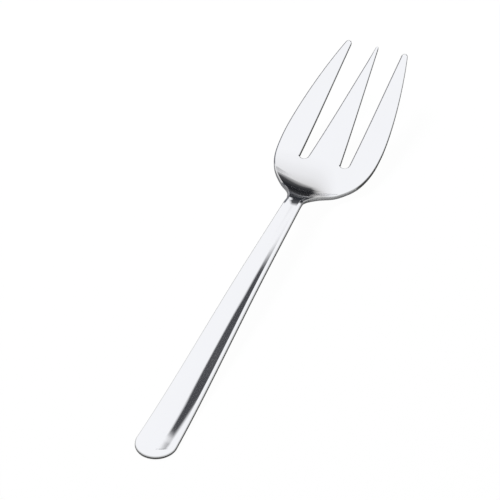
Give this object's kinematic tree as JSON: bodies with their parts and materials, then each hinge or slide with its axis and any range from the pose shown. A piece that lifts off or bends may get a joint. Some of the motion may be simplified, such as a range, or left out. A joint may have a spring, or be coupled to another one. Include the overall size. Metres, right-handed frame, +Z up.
{
  "type": "serving fork",
  "caption": "Polished steel serving fork with long tapering tines, a shallow dished head on a narrow neck and a long crowned handle with a round end, for lifting sliced food.",
  "frame": {"origin": "under the middle of the fork, on the table plane that the end of the handle and the heel of the head rest on", "axes": "+Y along the fork from the handle to the tips, +Z up from the table, +X to the right when the tips point ahead"},
  "size_m": [0.0352, 0.21, 0.0152],
  "materials": {
    "polished_steel": "mirror polished stainless steel with faint lengthwise polishing lines"
  },
  "bodies": {
    "root": {"serving_fork": "polished_steel"}
  },
  "joints": []
}
